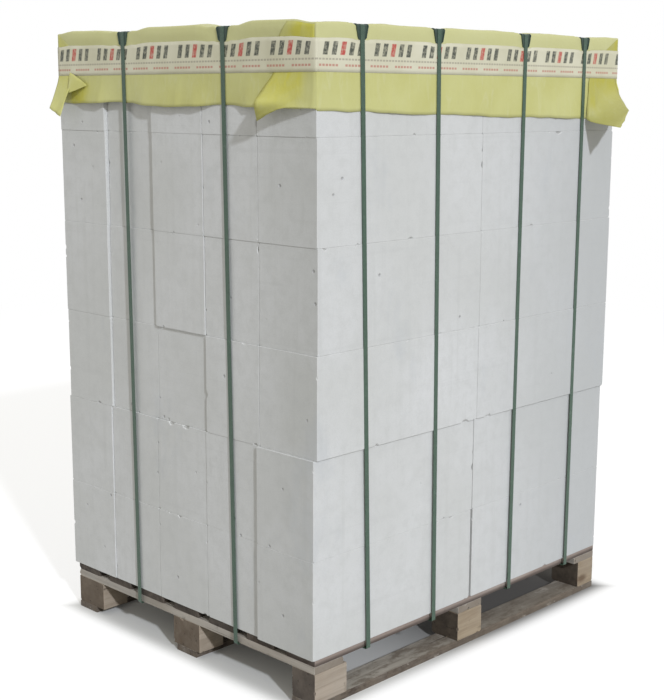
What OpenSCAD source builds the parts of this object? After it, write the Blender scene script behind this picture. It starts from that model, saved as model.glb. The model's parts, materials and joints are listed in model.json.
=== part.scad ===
// Pallet of aerated concrete blocks: sixty blocks in six courses on a wooden
// four-way pallet, under a film cover that is taped round and strapped down
// over moulded edge protectors.
// The origin is at the middle of the pallet's underside, +X runs along the
// deck boards, +Z points up.

/* [Blocks] */
// Length of one block with its joint, along X
block_length = 600; // [400:5:650]
// Thickness of one block with its joint, along Y
block_thickness = 200; // [150:5:250]
// Height of one block, along Z
block_height = 250; // [220:5:300]
// Joint left open between neighbouring blocks
block_joint = 2; // [0.5:0.5:5]
// Broken edge of a block
block_edge = 1.5; // [0.5:0.25:4]
// Furthest that a block was pushed out of line along its length
block_push = 12; // [0:1:20]
// Furthest that a course was slid sideways on the one below
course_slide = 3; // [0:1:8]
// How far the load stands off the middle of the pallet, along X
load_shift = -6; // [-20:1:20]

/* [Pallet] */
// Length of the pallet, along the deck boards
pallet_length = 1200; // [1000:10:1300]
// Width of the pallet
pallet_width = 980; // [800:10:1200]
// Thickness of a deck or stringer board
board_thickness = 20; // [16:1:30]
// Thickness of a runner board
runner_thickness = 17; // [14:1:30]
// Width of a deck board
deck_board_width = 100; // [70:5:120]
// Width of a stringer board
stringer_width = 100; // [80:5:145]
// Width of a runner board
runner_width = 80; // [60:5:145]
// Common length of a spacer block, along X
spacer_length = 100; // [80:5:145]
// Common width of a spacer block, along Y
spacer_width = 100; // [80:5:145]
// Height of a spacer block
spacer_height = 78; // [70:1:100]
// Bevel along the upper edges of the runner boards between the spacer blocks
runner_bevel = 3; // [2:1:12]

/* [Film cover and tape] */
// Thickness of the film cover
film_thickness = 1; // [0.5:0.1:2]
// Room between the film and the sides of the blocks
film_gap = 0.3; // [0.1:0.1:2]
// How far the skirt of the cover hangs down
skirt_drop = 200; // [160:5:240]
// Reach of a folded corner of the cover
ear_reach = 200; // [120:5:240]
// Thickness of the folded corner, two layers of film
ear_thickness = 2; // [1:0.5:4]
// Width of the tape band
tape_width = 73; // [40:1:90]
// Thickness of the tape band
tape_thickness = 0.4; // [0.2:0.1:1]
// Distance from the end of the edge protectors to the tape
tape_gap = 1; // [0.5:0.5:10]

/* [Straps] */
// Width of a strap
strap_width = 14; // [10:1:19]
// Thickness of a strap
strap_thickness = 0.9; // [0.6:0.1:1.5]
// Bend radius of a strap at the edge of the pallet
strap_bend = 3; // [2:0.5:8]

/* [Edge protectors] */
// Length of each leg of a protector, measured from its bend
protector_leg = 30; // [25:1:42]
// Width of a protector at its bend
protector_width = 40; // [36:1:60]
// Width of a protector at the end of a leg
protector_tip = 27; // [24:1:34]
// Wall of a protector
protector_wall = 2; // [1.5:0.1:3]
// Outer radius of the bend
protector_bend = 4; // [3:0.5:6]
// Height of the side rims above the wall
rim_height = 1.5; // [1:0.5:5]
// Thickness of the side rims
rim_wall = 2.5; // [1.5:0.25:3]
// Radius of the corners at the end of a leg
protector_corner = 3; // [1:0.5:5]

/* [Hidden] */
$fn = 48;

// Overrun of every cut past the face it goes through
overrun = 5;

courses = 6;
columns = 5;
deck_boards = 7;
bearers = 3;
cross_straps = 4;
long_straps = 2;

// How far each near block stands in (+) or out (-) of line, as a share of
// block_push: one row for each course from the lowest, columns from +Y to -Y
near_shares = [
    [0.00, 0.20, 0.15, 0.10, -0.65],
    [0.05, 0.30, 0.25, 0.10, -0.60],
    [0.05, 0.60, 0.55, 0.00, 0.00],
    [0.00, 0.70, 0.10, 0.28, 0.25],
    [0.10, 0.95, 0.05, 0.15, 0.12],
    [0.00, 1.00, 0.00, 0.05, 0.00]
];

// Extra gap between the two blocks of a row, as a share of block_push
gap_shares = [
    [0.40, 0.10, 0.35, 0.30, 0.55],
    [0.30, 0.05, 0.40, 0.25, 0.50],
    [0.35, 0.10, 0.25, 0.40, 0.10],
    [0.45, 0.00, 0.30, 0.30, 0.05],
    [0.30, 0.00, 0.40, 0.45, 0.10],
    [0.40, 0.00, 0.45, 0.40, 0.05]
];

// How far each course slid towards +Y, as a share of course_slide
slide_shares = [1.0, 0.9, -0.9, -0.5, -0.2, 0.0];

// Length and width of each spacer block as shares of the common ones, along
// X from the -X -Y corner
spacer_shares = [
    [1.12, 0.80], [1.03, 0.92], [0.78, 0.95],
    [0.84, 1.08], [1.00, 1.00], [0.95, 1.00],
    [0.84, 1.15], [1.00, 0.96], [1.00, 1.00]
];

// Where the cross straps stand at the top, as shares of half the cover's
// length, and under the deck, as shares of the bay between two stringers
cross_top_shares = [-0.76, -0.31, 0.27, 0.72];
cross_low_shares = [0.16, 0.74, 0.23, 0.86];

// Where the long straps stand at the top, as shares of half the cover's
// width, and under the stringers, as shares of the bay between two rows of
// spacer blocks, counted from the middle row
long_top_shares = [0.41, -0.37];
long_low_shares = [0.41, 0.47];

// Outline of a loose folded corner: distance from the corner edge as a share
// of ear_reach, and drop below the tape as a share of the loose skirt
ear_shares = [
    [0.00, 0.00], [0.84, 0.02], [1.00, 0.92], [0.94, 1.30],
    [0.62, 1.08], [0.30, 1.00], [0.00, 1.00]
];

// Reach of each folded corner as a share of ear_reach, and its heading in
// degrees from +X, at the near, right, back and left corners of the cover
ear_reach_shares = [0.85, 1.05, 0.70, 0.50];
ear_headings = [102, 217, 165, 235];

// Part of the bare rim of a larger deck that the blocks are set out over
set_out_share = 0.5;

deck_top = board_thickness * 2 + spacer_height + runner_thickness;
load_top = deck_top + courses * block_height;
body_length = block_length - block_joint;
body_thickness = block_thickness - block_joint;

// The blocks stand close, and are set out over part of a larger deck
row_pitch = block_length
    + set_out_share * max(0, pallet_length - 2 * block_length);
column_pitch = block_thickness
    + set_out_share * max(0, pallet_width - columns * block_thickness) / (columns - 1);
load_length = row_pitch + block_length;
load_width = (columns - 1) * column_pitch + block_thickness;
load_start = load_shift - load_length / 2 + block_joint / 2;

// Near face, far block and far face of the row at one course and column
function near_face(i, j) = load_start + near_shares[i][j] * block_push;
function far_start(i, j) =
    near_face(i, j) + row_pitch + gap_shares[i][j] * block_push;
function far_face(i, j) = far_start(i, j) + body_length;
function column_start(i, j) =
    load_width / 2 - j * column_pitch - block_thickness + block_joint / 2
    + slide_shares[i] * course_slide;

// Outside of the top course, which carries the cover
top_row = courses - 1;
crown_x0 = min([for (j = [0 : columns - 1]) near_face(top_row, j)]);
crown_x1 = max([for (j = [0 : columns - 1]) far_face(top_row, j)]);
crown_y0 = column_start(top_row, columns - 1);
crown_y1 = column_start(top_row, 0) + body_thickness;

// Outside of the film cover
cover_wall = film_gap + film_thickness;
cover_x0 = crown_x0 - cover_wall;
cover_x1 = crown_x1 + cover_wall;
cover_y0 = crown_y0 - cover_wall;
cover_y1 = crown_y1 + cover_wall;
cover_top = load_top + film_thickness;
hem_z = load_top - skirt_drop;

// Bend of a protector, whose inner corner is sharp, and its reach from the
// edge of the cover
bend_radius = min(protector_bend, 3 * protector_wall);
bend_start = bend_radius - protector_wall;
protector_reach = bend_start + protector_leg;
tape_z = cover_top - protector_reach - tape_gap - tape_width;

// Inside of the straps, which lie on the protectors and clear the courses
// and the pallet below
slide_room = max(slide_shares) * course_slide;
slide_back = -min(slide_shares) * course_slide;
strap_x0 = min(cover_x0 - protector_wall, -pallet_length / 2 - film_gap);
strap_x1 = max(cover_x1 + protector_wall, pallet_length / 2 + film_gap);
strap_y0 = min(cover_y0 - protector_wall, crown_y0 - slide_back - film_gap, -pallet_width / 2 - film_gap);
strap_y1 = max(cover_y1 + protector_wall, crown_y1 + slide_room + film_gap, pallet_width / 2 + film_gap);
cross_top = cover_top + protector_wall;
long_top = cross_top + strap_thickness;
cross_under = deck_top - board_thickness;
long_under = cross_under - board_thickness;

// Place of a strap at the top, between the two ends of the cover
function along(share, low, high) = (low + high) / 2 + share * (high - low) / 2;
function cross_top_x(i) = along(cross_top_shares[i], cover_x0, cover_x1);
function long_top_y(i) = along(long_top_shares[i], cover_y0, cover_y1);

// Place of a strap in the bay of the pallet that it passes through
function in_bay(share, start, bay) =
    start + strap_width / 2 + share * (bay - strap_width);
stringer_bay = (pallet_length - bearers * stringer_width) / 2;
function cross_low_x(i) =
    in_bay(cross_low_shares[i],
        i < cross_straps / 2 ? stringer_width - pallet_length / 2 : stringer_width / 2,
        stringer_bay);
block_bay = (pallet_width - bearers * spacer_width) / 2;
function long_low_y(i) =
    (i == 0 ? 1 : -1) * in_bay(long_low_shares[i], spacer_width / 2, block_bay);

// Rectangle with its four corners cut off
module cut_rectangle(size, cut) {
    polygon([
        [cut, 0], [size[0] - cut, 0], [size[0], cut],
        [size[0], size[1] - cut], [size[0] - cut, size[1]], [cut, size[1]],
        [0, size[1] - cut], [0, cut]
    ]);
}

// One block with all twelve edges broken, standing at the origin
module block() {
    intersection() {
        linear_extrude(block_height)
            cut_rectangle([body_length, body_thickness], block_edge);
        translate([0, body_thickness, 0])
            rotate([90, 0, 0])
                linear_extrude(body_thickness)
                    cut_rectangle([body_length, block_height], block_edge);
        rotate([90, 0, 90])
            linear_extrude(body_length)
                cut_rectangle([body_thickness, block_height], block_edge);
    }
}

// The ten blocks of one course
module block_course(i) {
    color("whitesmoke")
        for (j = [0 : columns - 1])
            for (x = [near_face(i, j), far_start(i, j)])
                translate([x, column_start(i, j), deck_top + i * block_height])
                    block();
}

// Place of the i-th of count pieces spread evenly from edge to edge
function spread(i, count, whole, piece) =
    -whole / 2 + piece / 2 + i * (whole - piece) / (count - 1);

module deck_board(i) {
    y = spread(i, deck_boards, pallet_width, deck_board_width);
    color("burlywood")
        translate([-pallet_length / 2, y - deck_board_width / 2, cross_under])
            cube([pallet_length, deck_board_width, board_thickness]);
}

module stringer(i) {
    x = spread(i, bearers, pallet_length, stringer_width);
    color("tan")
        translate([x - stringer_width / 2, -pallet_width / 2, long_under])
            cube([stringer_width, pallet_width, board_thickness]);
}

module pallet_block(i) {
    long = spacer_length * spacer_shares[i][0];
    wide = spacer_width * spacer_shares[i][1];
    x = spread(i % bearers, bearers, pallet_length, long);
    y = spread(floor(i / bearers), bearers, pallet_width, wide);
    color("peru")
        translate([x - long / 2, y - wide / 2, runner_thickness])
            cube([long, wide, spacer_height]);
}

// Open bay between two spacer blocks, along a runner
bay_middle = (pallet_length - spacer_length) / 4;
bay_length = (pallet_length - bearers * spacer_length) / 2;

// Wedge that takes the bevel off one upper edge of a runner in one bay
module bevel_cut() {
    side = runner_bevel * sqrt(2);
    rotate([45, 0, 0])
        cube([bay_length, side, side], center = true);
}

// Runner board, bevelled in its bays so that a pallet truck's wheels climb it
module runner(i) {
    y = spread(i, bearers, pallet_width, runner_width);
    color("sienna")
        translate([0, y, 0])
            difference() {
                translate([-pallet_length / 2, -runner_width / 2, 0])
                    cube([pallet_length, runner_width, runner_thickness]);
                for (side = [-1, 1])
                    for (bay = [-1, 1])
                        translate([bay * bay_middle, side * runner_width / 2, runner_thickness])
                            bevel_cut();
            }
}

// Upright plate of one folded corner, from the corner edge at the origin
module ear(i) {
    loose = tape_z - hem_z;
    reach = ear_reach * ear_reach_shares[i];
    rotate([0, 0, ear_headings[i]])
        translate([0, ear_thickness / 2, 0])
            rotate([90, 0, 0])
                linear_extrude(ear_thickness)
                    polygon([for (p = ear_shares) [p[0] * reach, tape_z - p[1] * loose]]);
}

// Hood over the top course with its loose folded corners
module film_cover() {
    room = 2 * film_gap;
    color("khaki")
        difference() {
            union() {
                translate([cover_x0, cover_y0, hem_z])
                    cube([cover_x1 - cover_x0, cover_y1 - cover_y0, cover_top - hem_z]);
                translate([cover_x0, cover_y0, 0])
                    ear(0);
                translate([cover_x1, cover_y0, 0])
                    ear(1);
                translate([cover_x1, cover_y1, 0])
                    ear(2);
                translate([cover_x0, cover_y1, 0])
                    ear(3);
            }
            translate([crown_x0 - film_gap, crown_y0 - film_gap, 0])
                cube([crown_x1 - crown_x0 + room, crown_y1 - crown_y0 + room, load_top]);
        }
}

module tape_band() {
    long = cover_x1 - cover_x0;
    wide = cover_y1 - cover_y0;
    color("ivory")
        translate([cover_x0, cover_y0, tape_z])
            difference() {
                translate([-tape_thickness, -tape_thickness, 0])
                    cube([long + 2 * tape_thickness, wide + 2 * tape_thickness, tape_width]);
                translate([0, 0, -overrun])
                    cube([long, wide, tape_width + 2 * overrun]);
            }
}

// Quarter bend of a strap from +X up to +Z, centred on its width along Y
module strap_corner(radius) {
    rotate([90, 0, 0])
        translate([0, 0, -strap_width / 2])
            linear_extrude(strap_width)
                intersection() {
                    difference() {
                        circle(radius + strap_thickness);
                        circle(radius);
                    }
                    square(radius + strap_thickness);
                }
}

// One side of a strap loop: half the top run, the bend over the protector,
// the slanting leg, the bend under the pallet and half the under run
module strap_half(reach, top, under, top_y, low_y) {
    half = strap_width / 2;
    leg_top = top - bend_radius;
    leg_low = under + strap_bend;
    translate([0, top_y - half, top])
        cube([reach - bend_radius, strap_width, strap_thickness]);
    translate([reach - bend_radius, top_y, leg_top])
        strap_corner(bend_radius);
    translate([reach, 0, 0])
        rotate([90, 0, 90])
            linear_extrude(strap_thickness)
                polygon([
                    [top_y - half, leg_top], [top_y + half, leg_top],
                    [low_y + half, leg_low], [low_y - half, leg_low]
                ]);
    translate([reach - strap_bend, low_y, leg_low])
        mirror([0, 0, 1])
            strap_corner(strap_bend);
    translate([0, low_y - half, under - strap_thickness])
        cube([reach - strap_bend, strap_width, strap_thickness]);
}

// Strap round the load in the X-Z plane, between two upright planes
module strap_loop(low, high, top, under, top_y, low_y) {
    translate([(low + high) / 2, 0, 0])
        for (side = [0, 1])
            mirror([side, 0, 0])
                strap_half((high - low) / 2, top, under, top_y, low_y);
}

module strap_length(i) {
    color("seagreen")
        strap_loop(strap_x0, strap_x1, long_top, long_under,
            long_top_y(i), long_low_y(i));
}

module strap_cross(i) {
    color("mediumseagreen")
        rotate([0, 0, 90])
            strap_loop(strap_y0, strap_y1, cross_top, cross_under,
                -cross_top_x(i), -cross_low_x(i));
}

// Tapered outline of one leg, from the bend at x = 0 to its cut-off end
module leg_outline(inset) {
    half = protector_width / 2 - inset;
    tip = protector_tip / 2 - inset;
    end = protector_leg - protector_corner;
    polygon([
        [0, -half], [end, -tip], [protector_leg, protector_corner - tip],
        [protector_leg, tip - protector_corner], [end, tip], [0, half]
    ]);
}

// One flat leg with a raised rim along each side
module protector_half() {
    linear_extrude(protector_wall)
        leg_outline(0);
    linear_extrude(protector_wall + rim_height)
        difference() {
            leg_outline(0);
            leg_outline(rim_wall);
            translate([protector_leg - protector_corner, -protector_width])
                square([protector_corner + overrun, 2 * protector_width]);
        }
}

// Section of the bend round the cover's edge at the origin, with its outer
// radius grown by a rim
module bend_section(rim) {
    difference() {
        translate([-bend_start, -bend_start])
            intersection() {
                circle(bend_radius + rim);
                square(bend_radius + rim);
            }
        translate([-bend_radius, -bend_radius])
            square(bend_radius);
    }
}

// Protector on an edge along Y, its legs lying towards -X and hanging to -Z
module protector() {
    half = protector_width / 2;
    translate([-bend_start, 0, 0])
        mirror([1, 0, 0])
            protector_half();
    translate([0, 0, -bend_start])
        rotate([0, 90, 0])
            protector_half();
    translate([0, half, 0])
        rotate([90, 0, 0])
            linear_extrude(protector_width)
                bend_section(0);
    for (y = [half, rim_wall - half])
        translate([0, y, 0])
            rotate([90, 0, 0])
                linear_extrude(rim_wall)
                    bend_section(rim_height);
}

// Place and turn of each protector: under the cross straps at -Y, then at +Y,
// then under the long straps at -X and at +X
function protector_place(i) =
    i < cross_straps ? [cross_top_x(i), cover_y0, -90] :
    i < 2 * cross_straps ? [cross_top_x(i - cross_straps), cover_y1, 90] :
    i < 2 * cross_straps + long_straps ?
        [cover_x0, long_top_y(i - 2 * cross_straps), 180] :
        [cover_x1, long_top_y(i - 2 * cross_straps - long_straps), 0];

module edge_protector(i) {
    place = protector_place(i);
    color("darkgreen")
        translate([place[0], place[1], cover_top])
            rotate([0, 0, place[2]])
                protector();
}

deck_board(0);  // deck_board_1
deck_board(1);  // deck_board_2
deck_board(2);  // deck_board_3
deck_board(3);  // deck_board_4
deck_board(4);  // deck_board_5
deck_board(5);  // deck_board_6
deck_board(6);  // deck_board_7
stringer(0);  // stringer_1
stringer(1);  // stringer_2
stringer(2);  // stringer_3
pallet_block(0);  // pallet_block_1
pallet_block(1);  // pallet_block_2
pallet_block(2);  // pallet_block_3
pallet_block(3);  // pallet_block_4
pallet_block(4);  // pallet_block_5
pallet_block(5);  // pallet_block_6
pallet_block(6);  // pallet_block_7
pallet_block(7);  // pallet_block_8
pallet_block(8);  // pallet_block_9
runner(0);  // runner_1
runner(1);  // runner_2
runner(2);  // runner_3
block_course(0);  // block_course_1
block_course(1);  // block_course_2
block_course(2);  // block_course_3
block_course(3);  // block_course_4
block_course(4);  // block_course_5
block_course(5);  // block_course_6
film_cover();
tape_band();
strap_cross(0);  // strap_cross_1
strap_cross(1);  // strap_cross_2
strap_cross(2);  // strap_cross_3
strap_cross(3);  // strap_cross_4
strap_length(0);  // strap_length_1
strap_length(1);  // strap_length_2
edge_protector(0);  // edge_protector_1
edge_protector(1);  // edge_protector_2
edge_protector(2);  // edge_protector_3
edge_protector(3);  // edge_protector_4
edge_protector(4);  // edge_protector_5
edge_protector(5);  // edge_protector_6
edge_protector(6);  // edge_protector_7
edge_protector(7);  // edge_protector_8
edge_protector(8);  // edge_protector_9
edge_protector(9);  // edge_protector_10
edge_protector(10);  // edge_protector_11
edge_protector(11);  // edge_protector_12
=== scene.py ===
"""Pallet of aerated concrete blocks under a strapped film cover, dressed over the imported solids."""
import json
import math
from collections import namedtuple

import bmesh
import bpy
import numpy as np
from mathutils import Matrix, Vector, noise

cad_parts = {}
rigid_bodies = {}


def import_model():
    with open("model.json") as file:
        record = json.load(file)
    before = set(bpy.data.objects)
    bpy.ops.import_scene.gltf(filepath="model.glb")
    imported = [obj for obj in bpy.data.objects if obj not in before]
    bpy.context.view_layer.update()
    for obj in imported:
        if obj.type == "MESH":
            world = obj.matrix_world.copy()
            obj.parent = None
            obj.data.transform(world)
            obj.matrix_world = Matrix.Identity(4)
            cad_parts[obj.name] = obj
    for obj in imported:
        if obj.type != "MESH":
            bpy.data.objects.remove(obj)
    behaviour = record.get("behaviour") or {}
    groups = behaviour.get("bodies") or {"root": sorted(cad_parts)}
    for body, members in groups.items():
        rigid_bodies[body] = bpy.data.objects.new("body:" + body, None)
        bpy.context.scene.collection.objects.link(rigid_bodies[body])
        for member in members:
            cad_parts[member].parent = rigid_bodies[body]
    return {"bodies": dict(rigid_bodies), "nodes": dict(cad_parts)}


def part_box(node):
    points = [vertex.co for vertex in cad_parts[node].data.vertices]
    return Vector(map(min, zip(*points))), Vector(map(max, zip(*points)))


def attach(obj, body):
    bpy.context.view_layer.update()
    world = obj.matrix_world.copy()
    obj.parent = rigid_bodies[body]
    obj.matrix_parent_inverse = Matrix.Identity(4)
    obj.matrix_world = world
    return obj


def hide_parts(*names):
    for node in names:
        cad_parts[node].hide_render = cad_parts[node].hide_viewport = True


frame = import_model()
nodes = frame["nodes"]
kept = set(nodes.values()) | set(frame["bodies"].values())
for stray in list(bpy.data.objects):
    if stray not in kept:
        bpy.data.objects.remove(stray)
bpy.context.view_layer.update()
scene = bpy.context.scene

MM = 0.001


def numbered(stem, count):
    """Names of a row of nodes."""
    return [f"{stem}_{i}" for i in range(1, count + 1)]


COURSES = numbered("block_course", 6)
DECK = numbered("deck_board", 7)
STRINGERS = numbered("stringer", 3)
SPACERS = numbered("pallet_block", 9)
RUNNERS = numbered("runner", 3)
STRAPS = numbered("strap_cross", 4) + numbered("strap_length", 2)
PROTECTORS = numbered("edge_protector", 12)


def smooth(low, high, value):
    """Eased step from 0 at low to 1 at high."""
    t = min(1.0, max(0.0, (value - low) / (high - low)))
    return t * t * (3 - 2 * t)


def wave(x, y=0.0, z=0.0):
    """Smooth noise from about -1 to 1."""
    return noise.noise(Vector((x, y, z)))


def piece(name, points, faces, node, soft=False):
    """A mesh object that stands in for a CAD node and rides on the part's one body."""
    mesh = bpy.data.meshes.new(name)
    mesh.from_pydata([tuple(p) for p in points], [], [tuple(f) for f in faces])
    mesh.validate()
    mesh.update()
    obj = bpy.data.objects.new(name, mesh)
    scene.collection.objects.link(obj)
    if soft:
        mesh.shade_smooth()
    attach(obj, "root")
    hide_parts(node)
    return obj


def point_values(obj, name, values):
    """Stores one number for each point of a mesh."""
    layer = obj.data.attributes.new(name, "FLOAT", "POINT")
    layer.data.foreach_set("value", np.asarray(values, np.float32))


def outward(obj):
    """Turns a closed mesh's faces outward."""
    bm = bmesh.new()
    bm.from_mesh(obj.data)
    bmesh.ops.recalc_face_normals(bm, faces=bm.faces)
    bm.to_mesh(obj.data)
    bm.free()


# Materials

class Nodes:
    """A node tree built from short calls."""

    def __init__(self, tree):
        self.tree = tree
        tree.nodes.clear()

    def add(self, kind, inputs=None, **settings):
        node = self.tree.nodes.new("ShaderNode" + kind)
        for key, value in settings.items():
            setattr(node, key, value)
        for key, value in (inputs or {}).items():
            self.put(node.inputs[key], value)
        return node

    def put(self, socket, value):
        if isinstance(value, bpy.types.NodeSocket):
            self.tree.links.new(value, socket)
        elif socket.type == "RGBA":
            socket.default_value = (*value, 1.0)
        else:
            socket.default_value = value

    def math(self, op, a, b=0.0):
        return self.add("Math", {0: a, 1: b}, operation=op).outputs[0]

    def times(self, first, *others):
        """Product of sockets and numbers."""
        for other in others:
            first = self.math("MULTIPLY", first, other)
        return first

    def axes(self, vector):
        """The x, y and z of a vector."""
        return tuple(self.add("SeparateXYZ", {0: vector}).outputs)

    def shows_background(self):
        """1 for a ray from the camera, a mirror or glass, which all see the white background."""
        ray = self.add("LightPath").outputs
        return self.math("MAXIMUM", ray["Is Camera Ray"],
                         self.math("MAXIMUM", ray["Is Glossy Ray"], ray["Is Transmission Ray"]))


class Shader(Nodes):
    """A material's node tree, with the textures and blends that the materials share."""

    def __init__(self, name):
        self.material = bpy.data.materials.new(name)
        self.material.use_nodes = True
        super().__init__(self.material.node_tree)
        self.where = self.add("TexCoord").outputs["Object"]

    def facing(self):
        """The x, y and z of the surface's direction."""
        return self.axes(self.add("NewGeometry").outputs["Normal"])

    def stretched(self, scale, shift=(0, 0, 0), turn=(0, 0, 0)):
        return self.add("Mapping", {
            "Vector": self.where, "Location": shift, "Rotation": turn, "Scale": scale}).outputs[0]

    def noise(self, scale, detail=4.0, rough=0.55, vector=None, twist=0.0):
        return self.add("TexNoise", {
            "Vector": vector or self.where, "Scale": scale, "Detail": detail,
            "Roughness": rough, "Distortion": twist}).outputs["Fac"]

    def cells(self, scale, vector=None, feature="F1"):
        return self.add("TexVoronoi", {"Vector": vector or self.where, "Scale": scale}, feature=feature)

    def chance(self, cells, channel):
        """One random number for each cell."""
        return self.add("SeparateColor", {0: cells.outputs["Color"]}).outputs[channel]

    def range(self, value, low, high, start=0.0, end=1.0):
        """Value from start to end, eased between low and high."""
        return self.add("MapRange", {
            0: value, 1: low, 2: high, 3: start, 4: end}, interpolation_type="SMOOTHSTEP").outputs[0]

    def band(self, value, start, full, fade, end):
        """1 between two edges and 0 outside them, eased at both."""
        return self.times(self.range(value, start, full), self.range(value, fade, end, 1.0, 0.0))

    def mix(self, factor, a, b, blend="MIX"):
        node = self.add("Mix", {0: factor, 6: a, 7: b}, data_type="RGBA", blend_type=blend)
        return node.outputs[2]

    def attribute(self, name):
        return self.add("Attribute", attribute_name=name).outputs["Fac"]

    def bump(self, height, strength, distance, normal=None):
        node = self.add("Bump", {"Height": height, "Strength": strength, "Distance": distance})
        if normal:
            self.put(node.inputs["Normal"], normal)
        return node.outputs[0]

    def finish(self, color, roughness, normal, specular):
        surface = self.add("BsdfPrincipled", {
            "Base Color": color, "Roughness": roughness, "Normal": normal, "Specular IOR Level": specular})
        self.add("OutputMaterial", {"Surface": surface.outputs[0]})
        return self.material


def concrete():
    """Pale aerated concrete with fine pores, faint cutting streaks, sparse pits and painted shade and
    highlights.
    """
    s = Shader("aerated_concrete")
    broad = s.noise(2.6, 3)
    mottle = s.noise(28, 6, 0.65)
    fine = s.noise(330, 3, 0.6)
    streak = s.noise(1, 4, 0.6, s.stretched((46, 46, 1.6)))
    level = s.noise(1, 3, 0.6, s.stretched((1.4, 1.4, 70)))
    color = s.mix(s.range(broad, 0.35, 0.68), (0.655, 0.66, 0.648), (0.715, 0.72, 0.722))
    color = s.mix(s.range(mottle, 0.40, 0.72, 0.0, 0.5), color, (0.60, 0.605, 0.595))
    color = s.mix(s.range(streak, 0.50, 0.75, 0.0, 0.32), color, (0.585, 0.59, 0.575))
    color = s.mix(s.range(level, 0.56, 0.74, 0.0, 0.20), color, (0.57, 0.575, 0.57))
    color = s.mix(s.range(fine, 0.35, 0.75, 0.0, 0.16), color, (0.50, 0.50, 0.49))
    color = s.mix(s.range(s.attribute("tone"), 0.0, 1.0), color, (0.56, 0.565, 0.55))
    # Painted shade, standing in for light that falls off across the load:
    # As in the photo, the front darkens towards its far end and the left side towards its near edge
    x, y, _ = s.axes(s.where)
    facing_x, facing_y, _ = s.facing()
    far_end_shade = s.times(s.range(facing_y, -0.6, -0.9), s.range(x, -0.18, 0.60, 0.0, 0.75))
    color = s.mix(far_end_shade, color, (0.50, 0.512, 0.516))
    near_end_shade = s.times(s.range(facing_x, -0.6, -0.9), s.range(y, -0.18, -0.52))
    color = s.mix(near_end_shade, color, (0.875, 0.875, 0.865), "MULTIPLY")
    pores = s.range(s.cells(520).outputs["Distance"], 0.10, 0.34, 1.0, 0.0)
    color = s.mix(s.times(pores, 0.22), color, (0.34, 0.34, 0.33))
    spot = s.cells(13.5)
    rare = s.range(s.chance(spot, 0), 0.45, 0.47)
    pits = s.times(s.range(spot.outputs["Distance"], 0.010, 0.072, 1.0, 0.0), rare)
    color = s.mix(s.times(pits, 0.50), color, (0.30, 0.31, 0.32))
    stain = s.noise(7, 5, 0.6, s.stretched((1, 1, 0.5), (3.1, 0.4, 1.7)))
    color = s.mix(s.range(stain, 0.58, 0.74, 0.0, 0.35), color, (0.53, 0.55, 0.57))
    worn = s.attribute("worn")
    # Rubbed edges paler, partly a painted highlight; chips darker, a painted shade in their notches.
    color = s.mix(s.range(worn, 0.05, 0.34, 0.0, 0.26), color, (0.75, 0.75, 0.73))
    color = s.mix(s.range(worn, 0.42, 0.85, 0.0, 0.85), color, (0.40, 0.40, 0.385))
    normal = s.bump(s.times(pores, -1.0), 0.35, 0.0012)
    normal = s.bump(s.times(pits, -1.0), 0.7, 0.004, normal)
    normal = s.bump(fine, 0.25, 0.0006, normal)
    normal = s.bump(streak, 0.18, 0.0009, normal)
    return s.finish(color, s.range(mottle, 0.3, 0.7, 0.86, 0.96), normal, 0.25)


def grain_scale(axis, across, lengthwise):
    """Scales of a texture that is drawn out along one axis."""
    scales = [across] * 3
    scales[axis] = lengthwise
    return scales


ALONG_X, ALONG_Y = 0, 1


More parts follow.
